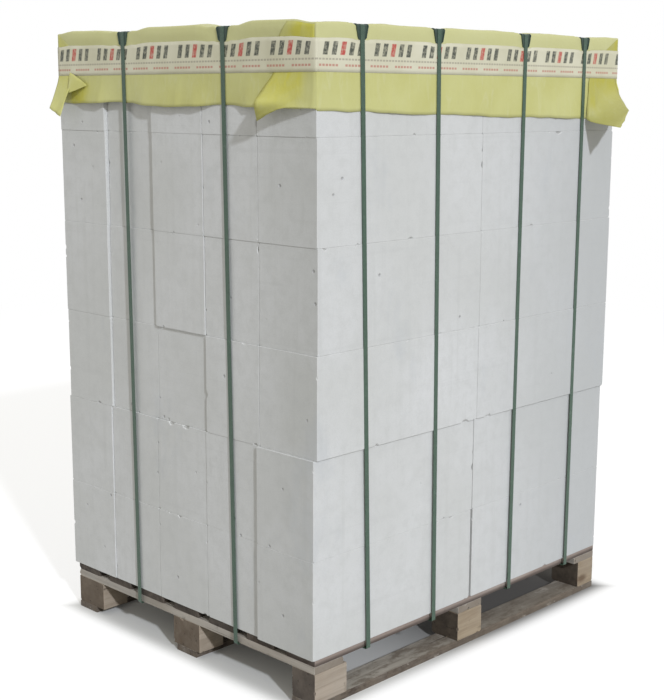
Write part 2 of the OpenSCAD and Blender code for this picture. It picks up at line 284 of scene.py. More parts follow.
def timber(name, light, dark, grey, axis=ALONG_X, greyed=0.5, top_grey=None, side_dirt_and_shade=None, end_shade=None,
           low_shade=None, far_dark=0.0, knots=False):
    """Weathered softwood with grain along an axis, checks, stains and worn edges, and painted shade where
    asked.
    """
    s = Shader(name)
    grain = s.noise(1, 6, 0.62, s.stretched(grain_scale(axis, 52.0, 2.6)), 0.9)
    lines = s.noise(1, 4, 0.6, s.stretched(grain_scale(axis, 260.0, 3.0)))
    checks = s.noise(1, 3, 0.5, s.stretched(grain_scale(axis, 95.0, 1.3), (5.2, 1.4, 7.9)))
    crack = s.range(checks, 0.66, 0.72)
    patch = s.noise(5.5, 5, 0.6)
    blotch = s.noise(21, 5, 0.65)
    place = s.axes(s.where)
    facing = s.facing()
    color = s.mix(s.range(grain, 0.32, 0.68), dark, light)
    color = s.mix(s.range(patch, 0.40, 0.66, 0.0, greyed), color, grey)
    color = s.mix(s.range(lines, 0.50, 0.72, 0.0, 0.45), color, dark)
    color = s.mix(s.range(blotch, 0.60, 0.78, 0.0, 0.55), color, (0.10, 0.08, 0.06))
    # Painted shade on the end faces, for ends that sit in shadow.
    if end_shade:
        end = s.range(s.math("ABSOLUTE", facing[axis]), 0.45, 0.75)
        color = s.mix(s.times(end, s.range(blotch, 0.2, 0.75, 0.96, 0.72)), color, end_shade)
    # Sides darkened: dirt on the runners, painted shade on the inner deck boards.
    if side_dirt_and_shade:
        side = s.range(s.math("ABSOLUTE", facing[2]), 0.75, 0.92, 1.0, 0.0)
        color = s.mix(s.times(side, s.range(blotch, 0.2, 0.7, 0.55, 0.95)), color, side_dirt_and_shade)
    if top_grey:
        top = s.range(facing[2], 0.75, 0.92)
        color = s.mix(s.times(top, s.range(grain, 0.25, 0.7, 0.20, 0.65)), color, top_grey)
    # Painted shadow on the board's lower part, in the gap beneath it.
    if low_shade:
        color = s.mix(s.range(place[2], *low_shade, 0.85, 0.0), color, (0.06, 0.045, 0.038))
    if far_dark:
        color = s.mix(s.range(place[0], -0.40, 0.15, 0.0, far_dark), color, dark)
        mottled = s.noise(1, 7, 0.7, s.stretched((16, 34, 34), (2.7, 0.3, 0.0)))
        color = s.mix(s.range(mottled, 0.46, 0.62, 0.0, 0.75), color, dark)
        color = s.mix(s.range(mottled, 0.42, 0.30, 0.0, 0.55), color, light)
    if knots:
        knot = s.cells(1, s.stretched(grain_scale(axis, 11.0, 5.0), (0.7, 2.3, 1.1)))
        some = s.range(s.chance(knot, 1), 0.50, 0.52)
        ring = s.range(knot.outputs["Distance"], 0.05, 0.19, 1.0, 0.0)
        color = s.mix(s.times(ring, some, 0.8), color, (0.13, 0.082, 0.05))
    color = s.mix(s.times(crack, 0.75), color, (0.045, 0.035, 0.028))
    color = s.mix(s.range(s.attribute("tone"), 0.0, 1.0), color, (0.09, 0.07, 0.055))
    rubbed = s.times(s.attribute("worn"), s.range(blotch, 0.35, 0.65, 0.1, 0.6))
    color = s.mix(rubbed, color, light)
    normal = s.bump(grain, 0.5, 0.0016)
    normal = s.bump(lines, 0.35, 0.0007, normal)
    normal = s.bump(s.times(crack, -1.0), 0.8, 0.0025, normal)
    return s.finish(color, s.range(grain, 0.3, 0.7, 0.72, 0.92), normal, 0.3)


def film():
    """Thin yellow film, deeper where it lies in several layers, with fine creases, painted highlights and
    painted shade.
    """
    s = Shader("yellow_film")
    layers = s.attribute("layers")
    broad = s.noise(6, 4)
    crease = s.noise(1, 5, 0.6, s.stretched((34, 34, 9)), 1.2)
    fine = s.noise(190, 3)
    color = s.mix(s.range(broad, 0.32, 0.70), (0.605, 0.60, 0.262), (0.56, 0.548, 0.205))
    # Raised creases are painted lighter, a painted highlight.
    color = s.mix(s.range(crease, 0.52, 0.72, 0.0, 0.35), color, (0.665, 0.66, 0.385))
    color = s.mix(s.times(s.attribute("crown"), 0.65), color, (0.622, 0.615, 0.330))
    streaked = s.noise(1, 5, 0.6, s.stretched((22, 22, 11), (1.3, 0.2, 0.4), (0.5, 0.5, 0.0)), 1.5)
    color = s.mix(s.times(layers, s.range(streaked, 0.36, 0.64, 1.0, 0.60)), color,
                  (0.588, 0.552, 0.080))
    # Painted shade: folded corners that face the light are darkened.
    color = s.mix(s.attribute("dim"), color, (0.78, 0.77, 0.72), "MULTIPLY")
    color = s.mix(s.range(fine, 0.55, 0.8, 0.0, 0.12), color, (0.44, 0.42, 0.19))
    normal = s.bump(crease, 0.35, 0.004)
    normal = s.bump(s.noise(60, 4, 0.6, twist=0.8), 0.25, 0.0012, normal)
    return s.finish(color, s.range(crease, 0.3, 0.7, 0.44, 0.60), normal, 0.30)


def tape():
    """Beige packing tape with a made-up print of slanted dashes and rows of short strokes."""
    s = Shader("printed_tape")
    u, v, _ = s.axes(s.add("UVMap", uv_map="UVMap").outputs[0])
    broad = s.noise(9, 4)
    wrinkle = s.noise(1, 4, 0.6, s.stretched((26, 26, 60)), 0.8)
    color = s.mix(s.range(broad, 0.3, 0.7), (0.625, 0.60, 0.44), (0.715, 0.69, 0.54))
    lean = s.math("ADD", u, s.times(v, -0.018))
    cycle = s.math("FRACT", s.math("DIVIDE", lean, 0.168))
    dash = s.math("FRACT", s.times(cycle, 6.0))
    in_group = s.range(cycle, 0.835, 0.84, 1.0, 0.0)
    body = s.band(dash, 0.06, 0.10, 0.60, 0.64)
    tall = s.band(v, 0.50, 0.53, 0.88, 0.91)
    ink = s.times(body, tall, in_group)
    red = s.band(cycle, 0.325, 0.335, 0.50, 0.51)
    rub = s.range(s.noise(120, 4, 0.7), 0.30, 0.62, 0.45, 0.95)
    paint = s.mix(red, (0.035, 0.045, 0.035), (0.50, 0.055, 0.045))
    color = s.mix(s.times(ink, rub), color, paint)
    small = s.math("FRACT", s.math("DIVIDE", u, 0.0105))
    stroke = s.range(small, 0.70, 0.76, 1.0, 0.0)
    gap = s.range(s.math("FRACT", s.math("DIVIDE", u, 0.084)), 0.72, 0.74, 1.0, 0.0)
    row_a = s.band(v, 0.355, 0.37, 0.41, 0.425)
    row_b = s.band(v, 0.165, 0.18, 0.235, 0.25)
    line_a = s.times(stroke, row_a, 0.50)
    line_b = s.times(stroke, row_b, gap)
    color = s.mix(line_a, color, (0.20, 0.16, 0.13))
    color = s.mix(s.times(line_b, 0.65), color, (0.47, 0.10, 0.08))
    normal = s.bump(wrinkle, 0.22, 0.002)
    return s.finish(color, s.range(wrinkle, 0.3, 0.7, 0.40, 0.58), normal, 0.35)


def strap_plastic():
    """Dark green polyester strap with an embossed diamond face and scuffs."""
    s = Shader("green_strap")
    fine = s.noise(160, 4)
    long_marks = s.noise(1, 4, 0.6, s.stretched((380, 380, 3)))
    scuff = s.range(s.noise(45, 5, 0.65), 0.60, 0.74)
    color = s.mix(s.range(fine, 0.3, 0.7), (0.037, 0.080, 0.052), (0.055, 0.108, 0.071))
    color = s.mix(s.range(long_marks, 0.52, 0.75, 0.0, 0.4), color, (0.085, 0.14, 0.098))
    color = s.mix(s.times(scuff, 0.30), color, (0.16, 0.24, 0.20))
    diamond = s.cells(330, feature="DISTANCE_TO_EDGE").outputs["Distance"]
    normal = s.bump(s.range(diamond, 0.0, 0.18), 0.5, 0.0005)
    normal = s.bump(long_marks, 0.25, 0.0003, normal)
    return s.finish(color, s.range(fine, 0.3, 0.7, 0.30, 0.46), normal, 0.5)


def protector_plastic():
    """Near-black green moulded plastic with a fine grain and rubbed ribs."""
    s = Shader("dark_protector")
    grain = s.cells(900).outputs["Distance"]
    cloud = s.noise(55, 5, 0.6)
    rub = s.range(s.noise(230, 4, 0.6), 0.58, 0.74)
    color = s.mix(s.range(cloud, 0.3, 0.7), (0.016, 0.038, 0.027), (0.034, 0.066, 0.050))
    color = s.mix(s.times(rub, 0.35), color, (0.10, 0.14, 0.12))
    normal = s.bump(grain, 0.25, 0.0003)
    return s.finish(color, s.range(cloud, 0.3, 0.7, 0.42, 0.62), normal, 0.5)


# Worn boxes: blocks and boards

# The two other axes of an axis, and the pairs of low and high sides across them
OTHER = {0: (1, 2), 1: (0, 2), 2: (0, 1)}
SIDES = ((0, 0), (0, 1), (1, 0), (1, 1))
INWARD = (1.0, -1.0)
THINNEST_WEAR = 0.0003
CLOSEST_POINTS = 0.0006
CHIP_SHARES = (-1.0, -0.62, -0.30, 0.05, 0.34, 0.70, 1.0)
# Rounding of the edges, chips to the metre, largest chip, pitch of the points and inset of the corners
Wear = namedtuple("Wear", "round_by chips chip_size step corner")


def edge_places(rng, start, end, wear, seen):
    """Places along one edge and its chips, some by chance and some where the photo shows them."""
    places = list(np.linspace(start, end, max(2, int((end - start) / wear.step))))
    spots = list(seen)
    for _ in range(rng.poisson(wear.chips * (end - start))):
        at = rng.uniform(start, end)
        size = wear.chip_size * (0.25 + 0.75 * rng.random() ** 2)
        spots.append((at, size, size * rng.uniform(0.9, 2.2)))
    for at, _, half in spots:
        places += [at + half * share for share in CHIP_SHARES]
    places = sorted(p for p in places if start <= p <= end)
    clean = [places[0]]
    for p in places[1:]:
        if p - clean[-1] > CLOSEST_POINTS:
            clean.append(p)
    return clean, spots


def edge_wear(p, spots, shift, wear):
    """Widths of the worn strip on an edge's two faces at one place, its middle's share and its wear."""
    chip = 0.0
    for at, size, half in spots:
        near = max(0.0, 1 - abs(p - at) / half)
        chip = max(chip, size * near ** 0.55)
    base = wear.round_by * (1 + 0.55 * wave(p * 24 + shift) + 0.25 * wave(p * 90, shift))
    first = max(THINNEST_WEAR, base + chip * (1 + 0.35 * wave(p * 300, shift)))
    second = max(THINNEST_WEAR, base + chip * (0.75 + 0.35 * wave(p * 300, 7 + shift)))
    share = 0.29 + 0.24 * min(1.0, chip / (2 * wear.round_by))
    return first, second, share, min(1.0, 0.35 + chip / wear.chip_size)


def edge_ends(a, sb, sc):
    """Keys of the corners at the low and the high end of an edge along axis a."""
    b, c = OTHER[a]
    low = [0, 0, 0]
    low[b], low[c] = sb, sc
    high = list(low)
    high[a] = 1
    return tuple(low), tuple(high)


def worn_box(lo, hi, rng, wear, extra=()):
    """Box with unevenly worn and chipped edges: points, faces and the wear at each point."""
    planes = np.array([lo, hi])
    points, faces, worn_at, rows = [], [], [], {}

    def put(point, worn):
        points.append(tuple(point))
        worn_at.append(worn)
        return len(points) - 1

    inset = {(i, j, k): wear.corner * (0.7 + 1.6 * rng.random() ** 3)
             for i in (0, 1) for j in (0, 1) for k in (0, 1)}
    for a in range(3):
        b, c = OTHER[a]
        for sb, sc in SIDES:
            low, high = edge_ends(a, sb, sc)
            start, end = planes[0][a] + inset[low], planes[1][a] - inset[high]
            seen = [chip[1:] for chip in extra if chip[0] == (a, sb, sc)]
            places, spots = edge_places(rng, start, end, wear, seen)
            shift = rng.uniform(0, 50)
            strip = [], [], []
            for p in places:
                on_c, on_b, share, worn = edge_wear(p, spots, shift, wear)
                across = ((on_c, 0.0, 0.0), (on_c * share, on_b * share, worn), (0.0, on_b, 0.0))
                for line, (in_c, in_b, value) in zip(strip, across):
                    spot = [p, p, p]
                    spot[b] = planes[sb][b] + INWARD[sb] * in_b
                    spot[c] = planes[sc][c] + INWARD[sc] * in_c
                    line.append(put(spot, value))
            for i in range(len(places) - 1):
                for one, two in zip(strip, strip[1:]):
                    faces.append((one[i], one[i + 1], two[i + 1], two[i]))
            rows[(a, sb, sc)] = strip

    def rim(n, side, along, across, value):
        """The line of one edge that lies on the side of axis n."""
        b, c = OTHER[along]
        sides = {n: side, across: value}
        strip = rows[(along, sides[b], sides[c])]
        return strip[0] if n == b else strip[2]

    for n in range(3):
        p, q = OTHER[n]
        for side in (0, 1):
            faces.append(rim(n, side, p, q, 0) + rim(n, side, q, p, 1)
                         + rim(n, side, p, q, 1)[::-1] + rim(n, side, q, p, 0)[::-1])
    for corner, reach in inset.items():
        x, y, z = corner
        ex, ey, ez = rows[(0, y, z)], rows[(1, x, z)], rows[(2, x, y)]
        ix, iy, iz = -x, -y, -z
        loop = [ex[0][ix], ex[1][ix], ex[2][ix], ey[2][iy], ey[1][iy], ey[0][iy],
                ez[0][iz], ez[1][iz], ez[2][iz]]
        centre = put([planes[s][k] + INWARD[s] * reach * 0.30 for k, s in enumerate(corner)], 0.6)
        for i in range(len(loop)):
            faces.append((loop[i], loop[(i + 1) % len(loop)], centre))
    return points, faces, worn_at


def join(parts):
    """Several (points, faces, wear, tone) meshes as one."""
    points, faces, wear, tone = [], [], [], []
    for p, f, w, t in parts:
        base = len(points)
        points += p
        faces += [tuple(i + base for i in face) for face in f]
        wear += w
        tone += [t] * len(p)
    return points, faces, wear, tone


def solid_boxes(node):
    """Lowest and highest corners of each separate solid of a CAD node."""
    mesh = nodes[node].data
    ids, parent = {}, []

    def root(i):
        while parent[i] != i:
            parent[i] = parent[parent[i]]
            i = parent[i]
        return i

    welded = []
    for v in mesh.vertices:
        key = tuple(round(c, 5) for c in v.co)
        if key not in ids:
            ids[key] = len(parent)
            parent.append(len(parent))
        welded.append(ids[key])
    for face in mesh.polygons:
        first = root(welded[face.vertices[0]])
        for v in face.vertices:
            parent[root(welded[v])] = first
    groups = {}
    for v, w in zip(mesh.vertices, welded):
        groups.setdefault(root(w), []).append(v.co)
    boxes = [(np.min(group, 0), np.max(group, 0)) for group in groups.values()]
    return sorted(boxes, key=lambda b: (round(b[0][1], 2), round(b[0][0], 2)))


def worn_piece(name, node, boxes, tones, material, seed, wear, extra=()):
    """One piece of worn boxes in place of a CAD node.

    Each of extra is a chip that the photo shows: edge, place along it, size and half width.
    """
    rng = np.random.default_rng(seed)
    parts = []
    for (lo, hi), tone in zip(boxes, tones):
        here = [chip for chip in extra if lo[chip[0][0]] < chip[1] < hi[chip[0][0]]]
        parts.append((*worn_box(lo, hi, rng, wear, here), tone))
    points, faces, worn, tone = join(parts)
    obj = piece(name, points, faces, node)
    point_values(obj, "worn", worn)
    point_values(obj, "tone", tone)
    outward(obj)
    obj.data.materials.append(material)


BLOCK_WEAR = Wear(round_by=0.0011, chips=2.4, chip_size=0.0075, step=0.016, corner=0.0026)
DECK_WEAR = Wear(round_by=0.0014, chips=3.0, chip_size=0.006, step=0.02, corner=0.003)
BEARER_WEAR = DECK_WEAR._replace(chips=2.5)
SPACER_WEAR = Wear(round_by=0.0013, chips=4.0, chip_size=0.006, step=0.012, corner=0.003)
BLOCK_SEED, DECK_SEED, BEARER_SEED, SPACER_SEED = 100, 200, 230, 260

block_material = concrete()
tone_rng = np.random.default_rng(41)
# The side joints close by JOINT_FILL on each block, and end joints up to WIDEST_JOINT by a share on each
JOINT_FILL = 0.4 * MM
END_FILL = 0.36
WIDEST_JOINT = 8 * MM
# Chips that the photo shows, by course from 0: edge, place along it, size, half width
NEAR_TOP = (1, 0, 1)
SEEN_CHIPS = {1: [(NEAR_TOP, 0.044, 0.009, 0.012), (NEAR_TOP, -0.016, 0.010, 0.015)]}
for i, node in enumerate(COURSES):
    boxes = solid_boxes(node)
    for lo, hi in boxes:
        lo[1] -= JOINT_FILL
        hi[1] += JOINT_FILL
    for (_, left_hi), (right_lo, _) in zip(boxes[::2], boxes[1::2]):
        gap = right_lo[0] - left_hi[0]
        if 0 < gap < WIDEST_JOINT:
            left_hi[0] += END_FILL * gap
            right_lo[0] -= END_FILL * gap
    tones = [0.22 * tone_rng.random() ** 1.5 for _ in boxes]
    worn_piece(f"blocks_{i + 1}", node, boxes, tones, block_material,
               BLOCK_SEED + i, BLOCK_WEAR, SEEN_CHIPS.get(i, ()))

# Woods: light, dark and grey tone, and what darkens or greys them
deck_wood = timber(
    "deck_wood", (0.46, 0.38, 0.335), (0.28, 0.22, 0.19), (0.42, 0.37, 0.335),
    end_shade=(0.055, 0.045, 0.038), low_shade=(0.118, 0.129))
# A shaded copy of the deck wood, painted shade for the boards inside the deck.
shaded_inner_wood = timber(
    "shaded_inner_deck_wood", (0.40, 0.33, 0.27), (0.22, 0.175, 0.14), (0.35, 0.31, 0.27),
    side_dirt_and_shade=(0.026, 0.021, 0.018))
stringer_wood = timber(
    "stringer_wood", (0.51, 0.465, 0.41), (0.33, 0.297, 0.255), (0.43, 0.41, 0.38), ALONG_Y,
    greyed=0.6, end_shade=(0.24, 0.20, 0.16))
grey_wood = timber(
    "grey_spacer_wood", (0.468, 0.394, 0.320), (0.322, 0.266, 0.209), (0.426, 0.374, 0.315),
    end_shade=(0.060, 0.049, 0.042))
tan_wood = timber(
    "pale_spacer_wood", (0.413, 0.332, 0.234), (0.266, 0.202, 0.137), (0.386, 0.327, 0.258),
    end_shade=(0.040, 0.032, 0.027), knots=True)
side_wood = timber(
    "side_spacer_wood", (0.52, 0.44, 0.35), (0.35, 0.28, 0.21), (0.45, 0.40, 0.33),
    greyed=0.4, end_shade=(0.107, 0.081, 0.059), knots=True)
runner_wood = timber(
    "runner_wood", (0.64, 0.58, 0.51), (0.19, 0.155, 0.12), (0.43, 0.40, 0.345),
    greyed=0.7, top_grey=(0.45, 0.42, 0.36), side_dirt_and_shade=(0.060, 0.042, 0.032), far_dark=0.55, knots=True)

wood_rng = np.random.default_rng(7)
FRONT_ROW = -0.35
for i, node in enumerate(DECK):
    worn_piece(f"deck_{i + 1}", node, [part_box(node)], [0.30 * wood_rng.random()],
               shaded_inner_wood if i else deck_wood, DECK_SEED + i, DECK_WEAR)
for i, node in enumerate(STRINGERS):
    worn_piece(f"bearer_{i + 1}", node, [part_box(node)], [0.18 * wood_rng.random()],
               stringer_wood, BEARER_SEED + i, BEARER_WEAR)
for i, node in enumerate(SPACERS):
    lo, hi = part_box(node)
    front = lo.y < FRONT_ROW
    front_wood = tan_wood if i else grey_wood
    worn_piece(f"spacer_{i + 1}", node, [(lo, hi)], [0.20 * wood_rng.random()],
               front_wood if front else side_wood,
               SPACER_SEED + i, SPACER_WEAR)


# Film cover and tape

tape_lo, tape_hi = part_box("tape_band")
_, cover_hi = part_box("film_cover")
TAPE_SKIN = 0.4 * MM
X0, X1 = tape_lo.x + TAPE_SKIN, tape_hi.x - TAPE_SKIN
Y0, Y1 = tape_lo.y + TAPE_SKIN, tape_hi.y - TAPE_SKIN
TOP = cover_hi.z
MID_X, MID_Y = (X0 + X1) / 2, (Y0 + Y1) / 2
HALF_X, HALF_Y = (X1 - X0) / 2, (Y1 - Y0) / 2
TAPE_HIGH, TAPE_LOW = TOP - tape_hi.z, TOP - tape_lo.z
FILM_THICK, TAPE_THICK = 0.25 * MM, 0.15 * MM
SKIRT = 0.200
CORNER_ROUND = 0.0034
CORNER_STEPS = (0.25, 0.5, 0.75)
COLUMN_PITCH = 0.0085
# Reach of a strap's grip on the film, reach of a corner's, and depth at which the top edge's lift ends
STRAP_GRIP = 0.021
CORNER_GRIP = (0.004, 0.075)
LIFT_DEPTH = 0.075
# Depth of the hem at both ends of each side, going round, and at the corners by their sides in x and y
HEMS = {"left": (0.178, 0.188), "front": (0.192, 0.222), "right": (0.222, 0.200), "back": (0.200, 0.178)}
CORNER_HEMS = {(-1, 1): 0.178, (-1, -1): 0.190, (1, -1): 0.222, (1, 1): 0.200}
# Loose corners of the cover: place, rise of the top, bulge of the skirt
CORNERS = [((X0, Y1), 0.006, 0.004), ((X0, Y0), 0.0015, 0.0),
           ((X1, Y0), 0.007, 0.009), ((X1, Y1), 0.004, 0.007)]
# Reach of a loose corner's rise and bulge, and of the top edge's lift over the top
RISE_REACH, BULGE_REACH, LIFT_REACH = 0.065, 0.027, 0.055
# Heights: the hem's waves with their rate to the metre, the straps' draw on it, the skirt's ripple and
# flutter, the rim beside a strap, and the top's ridges, folds and puffs
HEM_WAVES = ((0.0045, 5.5), (0.0022, 19))
HEM_DRAW, RIPPLE, FLUTTER, RIM = 0.004, 0.0030, 0.0006, 0.0042
RIDGE, FOLD, PUFF = 0.0045, 0.005, 0.0015
# Depths over which the skirt's flare and a corner's bulge set in, and place and width of the top's swell
FLARE_DEPTH = (TAPE_LOW - 0.004, SKIRT + 0.010)
BULGE_DEPTH = (TAPE_LOW + 0.003, TAPE_LOW + 0.040)
SWELL_DEPTH, SWELL_WIDTH = 0.016, 0.014
# Distances from the corners over which the hem comes free of the folds there
NEAR_FREE, FAR_FREE, RIGHT_FREE = (0.10, 0.23), (0.06, 0.16), (0.06, 0.20)
# Distances from a strap over which the rim begins and ends and the top comes free
RIM_START, RIM_END, TOP_FREE = (0.0205, 0.030), (0.085, 0.040), (0.024, 0.090)

cross_lines = sorted(sum(c.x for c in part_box(n)) / 2 for n in PROTECTORS[:4])
long_lines = sorted(sum(c.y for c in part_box(n)) / 2 for n in PROTECTORS[8:10])

# Sides of the cover: outward direction, straps, flare of the hem, lift of the top edge, reach of a strap's
# pinch, seed of the noise, and creases by place, height and width
FACES = {
    "left": dict(
        normal=(-1, 0), lines=long_lines, flare=0.017, lift=0.011, pinch=0.110, seed=1.3,
        creases=[(0.30, 0.003, 0.009), (-0.02, 0.0025, 0.008), (0.12, 0.002, 0.006), (-0.28, 0.002, 0.008)]),
    "front": dict(
        normal=(0, -1), lines=cross_lines, flare=0.0022, lift=0.0055, pinch=0.048, seed=5.1,
        creases=[(-0.05, 0.0022, 0.007), (0.305, 0.003, 0.008), (-0.36, 0.0018, 0.006), (0.56, 0.002, 0.01)]),
    "right": dict(
        normal=(1, 0), lines=long_lines, flare=0.010, lift=0.006, pinch=0.100, seed=9.7,
        creases=[(0.25, 0.003, 0.009), (-0.1, 0.002, 0.007)]),
    "back": dict(
        normal=(0, 1), lines=cross_lines, flare=0.008, lift=0.004, pinch=0.090, seed=13.9,
        creases=[(0.1, 0.003, 0.008), (-0.3, 0.002, 0.007)]),
}
# A line down the cover: place, outward direction, side, x or y along it, and length round the cover
Column = namedtuple("Column", "place normal face along length")


def columns():
    """Columns round the cover, from its far left corner."""
    made = []
    walk = [("left", (X0, Y1), (0, -1), 2 * HALF_Y), ("front", (X0, Y0), (1, 0), 2 * HALF_X),
            ("right", (X1, Y0), (0, 1), 2 * HALF_Y), ("back", (X1, Y1), (-1, 0), 2 * HALF_X)]
    total = 0.0
    for k, (face, start, heading, length) in enumerate(walk):
        start, heading = np.array(start), np.array(heading)
        normal = np.array(FACES[face]["normal"])
        after = np.array(FACES[walk[(k + 1) % 4][0]]["normal"])
        axis = 1 if face in ("left", "right") else 0
        for t in np.linspace(CORNER_ROUND, length - CORNER_ROUND, int(length / COLUMN_PITCH)):
            place = start + heading * t
            made.append(Column(place, normal, face, place[axis], total + t))
        centre = start + heading * length - (normal + after) * CORNER_ROUND
        for share in CORNER_STEPS:
            turn = share * math.pi / 2
            out = normal * math.cos(turn) + after * math.sin(turn)
            run = total + length + (share - 0.5) * CORNER_ROUND
            made.append(Column(centre + out * CORNER_ROUND, out, "corner", 0.0, run))
        total += length
    return made


def strap_gap(face, along):
    """Distance to the nearest strap on a side."""
    return min(abs(along - line) for line in FACES[face]["lines"])


def slack(face, along):
    """How free the film is, from 0 at a strap or a corner to 1 between straps."""
    if face == "corner":
        return 0.0
    half, mid = (HALF_Y, MID_Y) if face in ("left", "right") else (HALF_X, MID_X)
    near = strap_gap(face, along)
    edge = half - abs(along - mid)
    return smooth(STRAP_GRIP, FACES[face]["pinch"], near) * smooth(*CORNER_GRIP, edge)


def skirt_length(column):
    """Depth of the hem below the top, longer towards the right, uneven and drawn up at the straps."""
    (x, y), _, face, along, _ = column
    if face == "corner":
        return CORNER_HEMS[(1 if x > MID_X else -1, 1 if y > MID_Y else -1)]
    share = {"left": (Y1 - y) / (Y1 - Y0), "front": (x - X0) / (X1 - X0),
             "right": (y - Y0) / (Y1 - Y0), "back": (X1 - x) / (X1 - X0)}[face]
    first, last = HEMS[face]
    seed = FACES[face]["seed"]
    uneven = sum(height * wave(along * rate, seed) for height, rate in HEM_WAVES)
    if face != "front":
        uneven -= HEM_DRAW * (1 - slack(face, along))
    return first + (last - first) * share + uneven * smooth(0.0, 0.03, min(share, 1 - share))


def loose(face, along):
    """How far the skirt may flare, from 0 where a folded corner holds it flat."""
    if face == "left":
        return smooth(*NEAR_FREE, along - Y0) * smooth(*FAR_FREE, Y1 - along)
    return smooth(*RIGHT_FREE, X1 - along) if face in ("front", "back") else 1.0


def stand_off(face, along, depth):
    """How far the skirt stands out of the cover's plane."""
    free = slack(face, along)
    if face == "corner" or free == 0.0:
        return 0.0
    info = FACES[face]
    seed = info["seed"] + 1.0
    low = smooth(*FLARE_DEPTH, depth) * loose(face, along)
    high = math.exp(-((depth - SWELL_DEPTH) / SWELL_WIDTH) ** 2)
    out = info["flare"] * low * (0.72 + 0.5 * wave(along * 4.2, seed))
    out += RIPPLE * low * max(-0.6, wave(along * 16, seed, depth * 6))
    out += 0.35 * info["lift"] * high
    out += FLUTTER * (0.5 + 0.5 * wave(along * 22, seed, depth * 18))
    for at, height, width in info["creases"]:
        out += height * (0.2 + 0.8 * low) * math.exp(-((along - at - 0.05 * (depth - 0.1)) / width) ** 2)
    return max(0.0, out) * free


def lifted(face, along):
    """How far the top edge of the film rises between the straps."""
    if face == "corner":
        return 0.0
    seed = FACES[face]["seed"] + 2.0
    near = strap_gap(face, along)
    rim = RIM * smooth(*RIM_START, near) * smooth(*RIM_END, near)
    return max(rim, FACES[face]["lift"] * slack(face, along) * (0.95 + 0.35 * wave(along * 5, seed)))


def lift_left(depth):
    """Share of the top edge's rise that is left at a depth."""
    return max(0.0, 1 - depth / LIFT_DEPTH)


def corner_pull(x, y, depth):
    """Rise and outward bulge of the film round its loose corners."""
    rise = bulge_x = bulge_y = 0.0
    for (cx, cy), up, out in CORNERS:
        away = math.hypot(x - cx, y - cy)
        rise += up * math.exp(-(away / RISE_REACH) ** 2) * lift_left(depth)
        bulge = out * math.exp(-(away / BULGE_REACH) ** 2) * smooth(*BULGE_DEPTH, depth)
        bulge_x += bulge * (0.7 if cx > MID_X else -0.7)
        bulge_y += bulge * (0.7 if cy > MID_Y else -0.7)
    return rise, bulge_x, bulge_y


def side_point(column, depth, extra=0.0):
    """Place of the film's side at a depth below the top, or of what lies over it by extra."""
    (x, y), (nx, ny), face, along, _ = column
    out = stand_off(face, along, depth) + extra
    rise, bulge_x, bulge_y = corner_pull(x, y, depth)
    rise += lifted(face, along) * lift_left(depth)
    return (x + nx * out + bulge_x, y + ny * out + bulge_y, TOP - depth + rise)


def top_point(column, inset, drop):
    """Place of the film's top at an inset from its edge, puffed up between the straps."""
    (x, y), _, face, along, _ = column
    px = MID_X + (x - MID_X) * (HALF_X - inset) / HALF_X
    py = MID_Y + (y - MID_Y) * (HALF_Y - inset) / HALF_Y
    near = min([abs(px - line) for line in cross_lines] + [abs(py - line) for line in long_lines])
    free = smooth(*TOP_FREE, near) * smooth(0.0, 0.05, inset)
    ridge = 1 - abs(wave(px * 6.5 + 0.9 * wave(py * 3), py * 6.5, 4.2)) * 2.4
    fold = 1 - abs(wave(px * 3.1, py * 9.0 + px * 4, 9.2)) * 3.2
    puff = RIDGE * max(0.0, ridge) + FOLD * max(0.0, fold) + PUFF * (1 + wave(px * 15, py * 15))
    rise = lifted(face, along) * math.exp(-(inset / LIFT_REACH) ** 2) + corner_pull(px, py, 0.0)[0]
    return (px, py, TOP - drop + puff * free + rise)


# Rows of points: shares of the skirt's depth from the top edge, and insets of the top from its middle
SIDE_SHARES = (0.016, 0.035, 0.06, 0.09, 0.125, 0.16, 0.19, 0.25, 0.32, 0.39, 0.46, 0.53, 0.565, 0.61,
               0.66, 0.71, 0.76, 0.81, 0.86, 0.91, 0.955, 1.0)
TOP_INSETS = (0.475, 0.42, 0.365, 0.31, 0.26, 0.215, 0.175, 0.142, 0.115, 0.092, 0.072, 0.055, 0.040,
              0.028, 0.018, 0.010)
# Rounding of the top edge, as inset and drop, and rise of the top's middle
EDGE_ROUND = ((0.0030, 0.0002), (0.0006, 0.0010))
CAP_RISE = 0.001


def grid_faces(rows, count, closed):
    """Quads between rows of points, each row closed to a ring or open."""
    faces = []
    for r in range(rows - 1):
        for c in range(count if closed else count - 1):
            d = (c + 1) % count
            faces.append((r * count + c, r * count + d, (r + 1) * count + d, (r + 1) * count + c))
    return faces


def curve_through(values, t):
    """Catmull-Rom value at t from 0 to 1 through rows of numbers."""
    values = np.asarray(values, float)
    last = len(values) - 1
    i = min(last - 1, int(t * last))
    f = t * last - i
    p1, p2 = values[i], values[i + 1]
    p0 = values[i - 1] if i else 2 * p1 - p2
    p3 = values[i + 2] if i + 2 <= last else 2 * p2 - p1
    return 0.5 * (2 * p1 + (p2 - p0) * f + (2 * p0 - 5 * p1 + 4 * p2 - p3) * f * f
                  + (3 * p1 - p0 - 3 * p2 + p3) * f ** 3)
